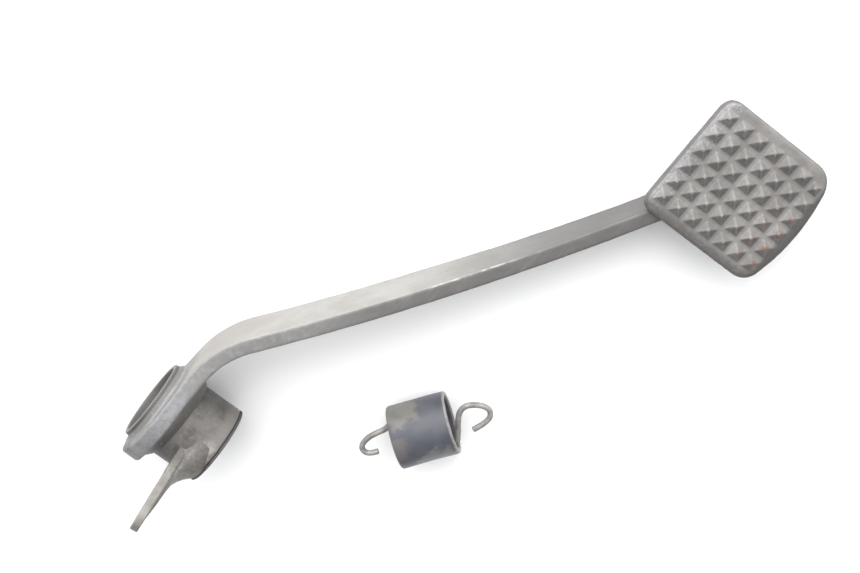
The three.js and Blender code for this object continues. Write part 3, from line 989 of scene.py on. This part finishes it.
def arm_paint():
    """Dull plated steel with streaked narrow edges; the broad sides are painted paler than the
    edges as painted reflection; dirt and painted shade by the hub, dirt by the pad.
    """
    p = Paint("worn_forged_steel", 0.35)
    heading = math.radians(32)
    cloud = p.noise(18.0, 4, 0.6)
    mottle = p.noise(3.0, 5, 0.62, None, 5.0)
    grain = p.noise(0.45, 3, 0.7)
    streaks = p.noise(2.4, 4, 0.62, (heading, (0.08, 1.0, 1.0)), 3.0)
    # narrow top and bottom edges of the bar
    colour = p.mix((0.150, 0.145, 0.140), (0.185, 0.180, 0.174), p.span(cloud, 0.36, 0.66))
    colour = p.mix(colour, (0.230, 0.226, 0.220), p.span(streaks, 0.5, 0.72, 0, 0.6))
    colour = p.mix(colour, (0.120, 0.115, 0.110), p.span(mottle, 0.56, 0.70, 0, 0.45))
    pale_zone = p.near((42, -2, 10), 20, 22)
    pale = both(p, pale_zone, p.span(mottle, 0.44, 0.62, 0.25, 0.75))
    colour = p.mix(colour, (0.34, 0.338, 0.335), pale)
    near_half = p.along((1, 0, 0), 96, 70)
    colour = p.mix(colour, (0.245, 0.240, 0.234), p.math("MULTIPLY", near_half, 0.5))
    toward_pad = p.along((1, 0, 0), 110, 200)
    colour = p.mix(colour, (0.112, 0.107, 0.102), p.math("MULTIPLY", toward_pad, 0.6))
    # broad sides, painted paler than the narrow edges: painted reflection of the bright
    # surroundings
    side = p.mix((0.300, 0.288, 0.270), (0.340, 0.330, 0.314), p.span(cloud, 0.36, 0.66))
    side = p.mix(side, (0.262, 0.252, 0.237), p.span(streaks, 0.52, 0.74, 0, 0.35))
    side = p.mix(side, (0.137, 0.132, 0.127), p.along((1, 0, 0), 88, 165))
    side = p.mix(side, (0.285, 0.268, 0.249), p.near((20, 11, 0), 18, 24))
    inboard = p.facing((0.5476, 0.8368, 0), 0.62, 0.80)
    outboard = p.facing((-0.5476, -0.8368, 0), 0.62, 0.80)
    colour = p.mix(colour, side, p.math("MAXIMUM", inboard, outboard))
    colour = p.mix(colour, (0.36, 0.35, 0.335), p.span(grain, 0.60, 0.85, 0, 0.25))
    pits = p.noise(1.0, 2, 0.5, None, 23.0)
    colour = p.mix(colour, (0.09, 0.083, 0.076), p.span(pits, 0.70, 0.77, 0, 0.6))
    chips = p.span(p.noise(3.2, 5, 0.7, None, 31.0), 0.42, 0.60)
    corner = p.facing((0.387, 0.592, 0.707), 0.90, 0.98)
    chip_zone = p.math("ADD", p.near((119, -46, 6), 14, 10), 0.10)
    chips = both(p, corner, p.math("MULTIPLY", both(p, chips, chip_zone), 0.6))
    colour = p.mix(colour, (0.47, 0.452, 0.415), chips)
    # hub
    hub_zone = p.near((0, 4, 0), 23, 7)
    band = p.mix((0.205, 0.205, 0.212), (0.275, 0.275, 0.285), p.span(mottle, 0.38, 0.64))
    colour = p.mix(colour, band, p.math("MULTIPLY", hub_zone, 0.85))
    # darker brown on the boss between the eye and the tube: partly brown grime, partly painted
    # shade of that recess
    brown = p.along((0, 1, 0), 7.6, 3.8)
    colour = p.mix(colour, (0.128, 0.119, 0.110), both(p, hub_zone, brown))
    inner_face = both(p, hub_zone, p.facing((0, 1, 0), 0.6, 0.85))
    colour = p.mix(colour, (0.205, 0.198, 0.190), p.math("MULTIPLY", inner_face, 0.8))
    by_tube = both(p, hub_zone, p.along((0, 1, 0), 12.9, 13.7))
    colour = p.mix(colour, (0.140, 0.134, 0.130), p.math("MULTIPLY", by_tube, 0.85))
    chalk = p.span(p.noise(1.8, 6, 0.75, None, 51.0, 0.5), 0.58, 0.70)
    chalky = both(p, p.near((2, 13, 17), 9, 9), p.math("MULTIPLY", chalk, 0.75))
    colour = p.mix(colour, (0.44, 0.435, 0.42), chalky)
    rust = p.span(p.noise(1.1, 3, 0.6, None, 61.0), 0.68, 0.75)
    colour = p.mix(colour, (0.185, 0.128, 0.092), both(p, hub_zone, p.math("MULTIPLY", rust, 0.55)))
    p.bump(grain, 0.025)
    p.bump(p.noise(1.8, 5, 0.6, None, 71.0), 0.07)
    p.bump(p.span(pits, 0.66, 0.77, 1, 0), 0.04)
    return p.finish(colour, p.span(cloud, 0.3, 0.7, 0.62, 0.50))


def tube_paint():
    """Dark brown oily tube with a patch of pale dried dirt near its outboard end."""
    p = Paint("grimy_tube_steel", 0.25)
    cloud = p.noise(7.0, 5, 0.62)
    fine = p.noise(1.6, 5, 0.66, None, 13.0)
    colour = p.mix((0.088, 0.081, 0.076), (0.142, 0.135, 0.128), p.span(cloud, 0.38, 0.62))
    colour = p.mix(colour, (0.180, 0.172, 0.161), p.span(fine, 0.50, 0.68, 0, 0.65))
    inboard = p.along((0, 1, 0), 13.2, 14.2)
    colour = p.mix(colour, (0.092, 0.089, 0.088), p.math("MULTIPLY", inboard, 0.8))
    outboard = p.along((0, 1, 0), -8.0, -12.5)
    colour = p.mix(colour, (0.200, 0.189, 0.175), p.math("MULTIPLY", outboard, 0.65))
    patch = p.near((2.8, -12.0, 16.0), 1.5, 5.5)
    crust = p.span(p.noise(3.0, 4, 0.56, None, 21.0, 0.3), 0.38, 0.60)
    colour = p.mix(colour, (0.36, 0.347, 0.327), both(p, patch, p.math("MULTIPLY", crust, 0.7)))
    rust = p.noise(1.2, 4, 0.6, None, 29.0)
    rust_zone = p.math("ADD", p.near((9, -10.0, 13.5), 3.0, 6.0), 0.12)
    specks = both(p, rust_zone, p.span(rust, 0.56, 0.68, 0, 0.6))
    colour = p.mix(colour, (0.165, 0.122, 0.096), specks)
    # a lighter band round the rim of the open end: painted highlight
    bright = p.along((0, 1, 0), 16.05, 16.35)
    colour = p.mix(colour, (0.19, 0.185, 0.178), p.math("MULTIPLY", bright, 0.8))
    p.bump(both(p, crust, patch), 0.10)
    p.bump(fine, 0.05)
    p.bump(p.noise(0.5, 3, 0.6, None, 43.0), 0.025)
    return p.finish(colour, p.span(cloud, 0.3, 0.7, 0.50, 0.66))


def collar_paint():
    """Turned steel, bright with fine rings and a little old grease."""
    p = Paint("turned_collar_steel", 0.9)
    rings = p.noise(0.35, 2, 0.5, (0.0, (0.02, 1.0, 0.02)))
    colour = p.mix((0.36, 0.35, 0.335), (0.55, 0.54, 0.52), rings)
    grease = p.noise(3.0, 5, 0.65, None, 7.0)
    colour = p.mix(colour, (0.12, 0.095, 0.07), p.span(grease, 0.52, 0.68, 0, 0.8))
    p.bump(rings, 0.01)
    return p.finish(colour, p.span(grease, 0.4, 0.7, 0.28, 0.6))


def bush_paint():
    p = Paint("dull_bush_bronze", 0.85)
    cloud = p.noise(2.2, 5, 0.6)
    colour = p.mix((0.25, 0.17, 0.075), (0.42, 0.30, 0.14), p.span(cloud, 0.35, 0.65))
    grime_and_painted_shade = p.span(p.noise(1.2, 4, 0.6, None, 9.0), 0.55, 0.7, 0, 0.8)
    colour = p.mix(colour, (0.08, 0.065, 0.05), grime_and_painted_shade)
    p.bump(cloud, 0.03)
    return p.finish(colour, p.span(cloud, 0.3, 0.7, 0.38, 0.58))


def seal_paint():
    p = Paint("old_seal_rubber", 0.0)
    cloud = p.noise(2.5, 5, 0.65)
    colour = p.mix((0.050, 0.049, 0.052), (0.085, 0.083, 0.084), p.span(cloud, 0.38, 0.62))
    dust = p.noise(1.3, 5, 0.7, None, 5.0)
    colour = p.mix(colour, (0.20, 0.19, 0.178), p.span(dust, 0.60, 0.76, 0, 0.45))
    p.bump(p.noise(0.4, 3, 0.6), 0.03)
    p.bump(dust, 0.05)
    return p.finish(colour, p.span(cloud, 0.3, 0.7, 0.6, 0.82))


def lever_paint():
    """Thin steel blade, beige with dust, painted browner and darker on its outboard face as painted
    shade.
    """
    p = Paint("aged_blade_steel", 0.3)
    cloud = p.noise(6.0, 5, 0.62)
    fine = p.noise(1.5, 5, 0.66, None, 15.0)
    colour = p.mix((0.195, 0.181, 0.164), (0.248, 0.236, 0.217), p.span(cloud, 0.36, 0.62))
    # the outboard face painted darker: painted shade
    outboard = p.facing((0, -1, 0), 0.15, 0.65)
    colour = p.mix(colour, (0.150, 0.137, 0.127), p.math("MULTIPLY", outboard, 0.85))
    root = p.near((-9, -8, 17), 8, 7)
    dusty = p.mix((0.180, 0.170, 0.158), (0.262, 0.252, 0.238), p.span(fine, 0.38, 0.62))
    colour = p.mix(colour, dusty, p.math("MULTIPLY", root, 0.9))
    tube_side = p.near((-4, -3, 13), 8, 5)
    colour = p.mix(colour, (0.120, 0.112, 0.104), p.math("MULTIPLY", tube_side, 0.75))
    blade = tuple(lever_point(1, 0, 0) - lever_point(0, 0, 0))
    foot = p.along(blade, 21.0, 16.6)
    mud = p.mix((0.118, 0.111, 0.103), (0.172, 0.164, 0.152), p.span(fine, 0.36, 0.66))
    colour = p.mix(colour, mud, p.math("MULTIPLY", foot, 0.85))
    colour = p.mix(colour, (0.33, 0.318, 0.298), p.span(fine, 0.60, 0.74, 0, 0.4))
    rust = p.noise(1.2, 4, 0.62, None, 25.0)
    colour = p.mix(colour, (0.205, 0.150, 0.115), p.span(rust, 0.64, 0.74, 0, 0.5))
    p.bump(fine, 0.07)
    p.bump(p.noise(0.5, 3, 0.6), 0.03)
    return p.finish(colour, p.span(cloud, 0.3, 0.7, 0.68, 0.52))


def pad_paint():
    """Warm grey worn steel, blue-grey dirt by the inboard edge, rusty tips at the outboard rear."""
    p = Paint("worn_pad_steel", 0.25)
    cloud = p.noise(10.0, 4, 0.6)
    fine = p.noise(1.5, 5, 0.64, None, 39.0)
    grain = p.noise(0.5, 4, 0.7)
    colour = p.mix((0.205, 0.196, 0.186), (0.262, 0.252, 0.240), p.span(cloud, 0.36, 0.64))
    colour = p.mix(colour, (0.175, 0.165, 0.156), p.span(fine, 0.52, 0.70, 0, 0.5))
    colour = p.mix(colour, (0.31, 0.302, 0.292), p.span(grain, 0.56, 0.82, 0, 0.4))
    # stud faces turned to the rear and outboard, away from the light, painted dark: painted shade
    rearward = p.facing((-1, 0.05, 0.35), 0.55, 0.85)
    outward = p.facing((-0.05, -1, 0.35), 0.55, 0.85)
    back = p.math("MAXIMUM", rearward, outward)
    studs = p.along((0, 0, 1), 2.3, 2.9)
    painted_stud_shade = p.math("MULTIPLY", back, p.span(fine, 0.38, 0.62, 0.40, 0.72))
    colour = p.mix(colour, (0.098, 0.094, 0.092), both(p, studs, painted_stud_shade))
    # stud tips painted lighter: partly rubbed wear, partly painted highlight
    tips = p.along((0, 0, 1), 4.35, 4.70)
    worn_tip_highlight = p.math("MULTIPLY", tips, p.span(fine, 0.42, 0.60, 0.05, 0.7))
    colour = p.mix(colour, (0.36, 0.36, 0.37), worn_tip_highlight)
    front = p.along((1, 0.05, 0), 226, 233)
    colour = p.mix(colour, (0.185, 0.172, 0.160), p.math("MULTIPLY", front, 0.6))
    inboard = p.along((-0.047, 1, 0), -96, -91)
    flecks = p.span(p.noise(1.1, 5, 0.72, None, 19.0), 0.47, 0.60)
    plate = p.along((0, 0, 1), 3.3, 2.7)
    dirt = both(p, both(p, inboard, plate), p.math("MULTIPLY", flecks, 0.7))
    colour = p.mix(colour, (0.33, 0.337, 0.38), dirt)
    # a dark band along the rear edge, which faces away from the light: painted shade
    rear = p.along((-1, -0.047, 0), -183.8, -180.5)
    grime_and_painted_shade = both(p, rear, p.span(fine, 0.35, 0.65, 0.7, 0.95))
    colour = p.mix(colour, (0.115, 0.109, 0.104), grime_and_painted_shade)
    rust_zone = both(p, p.along((0.047, -1, 0), 123, 131), p.along((-1, 0.05, 0), -228, -212))
    upper = p.along((0, 0, 1), 3.4, 4.3)
    rust_tips = both(p, upper, p.span(p.noise(1.6, 4, 0.66, None, 27.0), 0.42, 0.54))
    rust = both(p, rust_zone, p.math("MULTIPLY", rust_tips, 0.8))
    colour = p.mix(colour, (0.200, 0.088, 0.055), rust)
    # a dark band along the outboard edge, which faces away from the light: painted shade
    lip = p.along((0.047, -1, 0), 135.5, 138.2)
    colour = p.mix(colour, (0.080, 0.075, 0.072), p.math("MULTIPLY", lip, 0.85))
    # the pad's sides and underside painted darker: painted shade
    rim = p.along((0, 0, 1), 2.1, 1.2)
    colour = p.mix(colour, (0.088, 0.082, 0.078), p.math("MULTIPLY", rim, 0.75))
    p.bump(grain, 0.04)
    p.bump(fine, 0.10)
    return p.finish(colour, p.span(cloud, 0.3, 0.7, 0.66, 0.54))


def weld_paint():
    p = Paint("painted_weld_steel", 0.45)
    cloud = p.noise(1.8, 5, 0.65)
    colour = p.mix((0.10, 0.092, 0.085), (0.20, 0.19, 0.178), p.span(cloud, 0.36, 0.64))
    rust = p.noise(1.2, 4, 0.6, None, 7.0)
    colour = p.mix(colour, (0.23, 0.10, 0.045), p.span(rust, 0.56, 0.68, 0, 0.8))
    p.bump(p.noise(0.7, 4, 0.6), 0.10)
    return p.finish(colour, p.span(cloud, 0.3, 0.7, 0.68, 0.5))


def wire_paint():
    """Drawn spring wire, matt warm grey, with a few brown freckles."""
    p = Paint("aged_spring_wire", 0.5)
    cloud = p.noise(4.0, 5, 0.65)
    colour = p.mix((0.225, 0.214, 0.200), (0.33, 0.318, 0.302), p.span(cloud, 0.38, 0.62))
    grain = p.noise(0.35, 3, 0.7)
    colour = p.mix(colour, (0.48, 0.468, 0.45), p.span(grain, 0.55, 0.8, 0, 0.45))
    rust = p.noise(1.1, 4, 0.62, None, 11.0)
    colour = p.mix(colour, (0.21, 0.14, 0.095), p.span(rust, 0.62, 0.74, 0, 0.55))
    p.bump(grain, 0.02)
    p.bump(rust, 0.03)
    return p.finish(colour, p.span(cloud, 0.3, 0.7, 0.62, 0.50))


def sleeve_paint():
    """Smooth blue-black rubber with soft patches of dried mud and pale cut ends."""
    p = Paint("muddy_sleeve_rubber", 0.0)
    cloud = p.noise(9.0, 4, 0.55)
    colour = p.mix((0.060, 0.063, 0.077), (0.078, 0.081, 0.096), p.span(cloud, 0.36, 0.64))
    centre = Vector(SPRING_CENTRE)
    ragged = p.span(p.noise(3.6, 4, 0.56, None, 9.0), 0.36, 0.64, -0.25, 0.25)
    for across, height, along, reach, mud in (
        (12.5, 4.0, -6.0, 3.5, (0.165, 0.158, 0.140)),
        (-11.5, 6.5, 4.0, 6.5, (0.152, 0.154, 0.156)),
        (0.0, 13.0, -10.5, 0.5, (0.115, 0.107, 0.102)),
    ):
        place = spring_place(along, across, height)
        zone = p.math("ADD", p.near(place, reach, 8.5), ragged)
        colour = p.mix(colour, mud, p.span(zone, 0.25, 1.0, 0, 0.85))
    axis = (math.cos(SPRING_TURN), math.sin(SPRING_TURN), 0)
    middle = centre.dot(Vector(axis))
    far = p.along(axis, middle + 11.1, middle + 11.7)
    near = p.along(axis, middle - 11.5, middle - 12.0)
    dust = p.span(p.noise(1.2, 5, 0.7, None, 17.0), 0.35, 0.60, 0.35, 0.9)
    colour = p.mix(colour, (0.30, 0.288, 0.262), both(p, far, dust))
    colour = p.mix(colour, (0.16, 0.154, 0.142), both(p, near, dust))
    p.bump(ragged, 0.04)
    p.bump(p.noise(0.5, 3, 0.6, None, 3.0), 0.02)
    return p.finish(colour, p.span(cloud, 0.3, 0.7, 0.40, 0.50))


def floor_paint():
    p = Paint("pale_floor", 0.0)
    colour = p.mix((0.955, 0.955, 0.955), (0.97, 0.97, 0.97), p.noise(60.0, 3, 0.5))
    return p.finish(colour, 0.75)


# ---------------------------------------------------------------- build
def place(piece, body, slot, paint, *nodes):
    piece.data.materials.clear()
    piece.data.materials.append(paint)
    if body:
        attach(piece, body)
    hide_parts(*nodes)
    return piece


grimy = tube_paint()
weld = weld_paint()
bronze = bush_paint()
place(collar(), "collar", "collar_steel", collar_paint(), "pivot_collar")
place(pivot_tube(), "pedal", "grimy_steel", grimy, "pivot_tube")
inner_bush = bush("bush_inboard_ring", *BUSH_INBOARD_ENDS)
place(inner_bush, "pedal", "bush_bronze", bronze, "bush_inboard")
outer_bush = bush("bush_outboard_ring", *BUSH_OUTBOARD_ENDS)
place(outer_bush, "pedal", "bush_bronze", bronze, "bush_outboard")
place(seal(), "pedal", "seal_rubber", seal_paint(), "end_seal")
place(hub_and_bar(), "pedal", "forged_steel", arm_paint(), "pedal_arm", "eye_weld", "eye_boss")
place(foot_pad(), "pedal", "pad_steel", pad_paint(), "foot_pad")
place(pad_bead("pad_bead_inboard", 1, 5), "pedal", "weld_steel", weld, "pad_weld_inboard")
place(pad_bead("pad_bead_outboard", -1, 9), "pedal", "weld_steel", weld, "pad_weld_outboard")
place(rod_lever(), "pedal", "forged_steel", lever_paint(), "brake_rod_lever", "rod_lever_weld")
place(sleeve(), "spring", "sleeve_rubber", sleeve_paint(), "damper_sleeve")
wire_piece = place(
    spring_wire(),
    None,
    "spring_wire",
    wire_paint(),
    "spring_coil",
    "spring_hook_near",
    "spring_hook_far",
)
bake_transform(wire_piece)


# ---------------------------------------------------------------- stage
BRIGHT_SIDE = (0.62, 0.70, 0.36)
SKY_DIM = 0.50
SKY_BRIGHT = 2.75
KEY_POWER = 12.0
KEY_SIZE = 1.2
KEY_PLACE = (0.80, 0.90, 1.00)
KEY_COLOUR = (1.0, 0.99, 0.975)
FLOOR_REACH = 2500
CAMERA_PLACE = (227.62, 61.31, 431.21)
CAMERA_RIGHT = (0.6383, -0.7698, -0.0003)
CAMERA_UP = (0.7234, 0.5999, -0.3418)
SENSOR_WIDTH = 36.0
LENS = 1200.0 / 860.0 * SENSOR_WIDTH

corners = [(-1, -1), (1, -1), (1, 1), (-1, 1)]
floor = make(
    "floor", [(a * FLOOR_REACH, b * FLOOR_REACH, TABLE) for a, b in corners], [(0, 1, 2, 3)]
)
floor.data.materials.append(floor_paint())


def camera():
    right = Vector(CAMERA_RIGHT)
    up = Vector(CAMERA_UP)
    back = right.cross(up).normalized()
    up = back.cross(right).normalized()
    data = bpy.data.cameras.new("camera")
    data.sensor_width = SENSOR_WIDTH
    data.lens = LENS
    data.clip_start = 0.01
    data.clip_end = 20.0
    made = bpy.data.objects.new("camera", data)
    bpy.context.scene.collection.objects.link(made)
    turn = Matrix((right, up, back)).transposed().to_4x4()
    made.matrix_world = Matrix.Translation(PIVOT + Vector(CAMERA_PLACE) * MM) @ turn
    bpy.context.scene.camera = made


def lamp(name, place, target, size, power, colour):
    data = bpy.data.lights.new(name, "AREA")
    data.shape = "DISK"
    data.size = size
    data.energy = power
    data.color = colour
    made = bpy.data.objects.new(name, data)
    bpy.context.scene.collection.objects.link(made)
    made.location = place
    made.rotation_mode = "QUATERNION"
    made.rotation_quaternion = (Vector(target) - Vector(place)).to_track_quat("-Z", "Y")


def studio():
    """Soft light that is brightest towards BRIGHT_SIDE, with one large key lamp."""
    world = bpy.data.worlds.new("studio")
    world.use_nodes = True
    tree = world.node_tree
    sky = tree.nodes["Background"]
    sky.inputs[0].default_value = (0.985, 0.99, 1.0, 1)
    view = tree.nodes.new("ShaderNodeTexCoord")
    dot = tree.nodes.new("ShaderNodeVectorMath")
    dot.operation = "DOT_PRODUCT"
    dot.inputs[1].default_value = Vector(BRIGHT_SIDE).normalized()
    tree.links.new(view.outputs["Generated"], dot.inputs[0])
    ramp = tree.nodes.new("ShaderNodeMapRange")
    ramp.interpolation_type = "SMOOTHSTEP"
    ramp.inputs["From Min"].default_value = -0.1
    ramp.inputs["From Max"].default_value = 1.0
    ramp.inputs["To Min"].default_value = SKY_DIM
    ramp.inputs["To Max"].default_value = SKY_BRIGHT
    tree.links.new(dot.outputs["Value"], ramp.inputs["Value"])
    tree.links.new(ramp.outputs[0], sky.inputs[1])
    bpy.context.scene.world = world
    lamp("key", KEY_PLACE, (0, 0, 0), KEY_SIZE, KEY_POWER, KEY_COLOUR)


camera()
studio()
bpy.context.scene.view_settings.view_transform = "Standard"
bpy.context.scene.view_settings.look = "None"
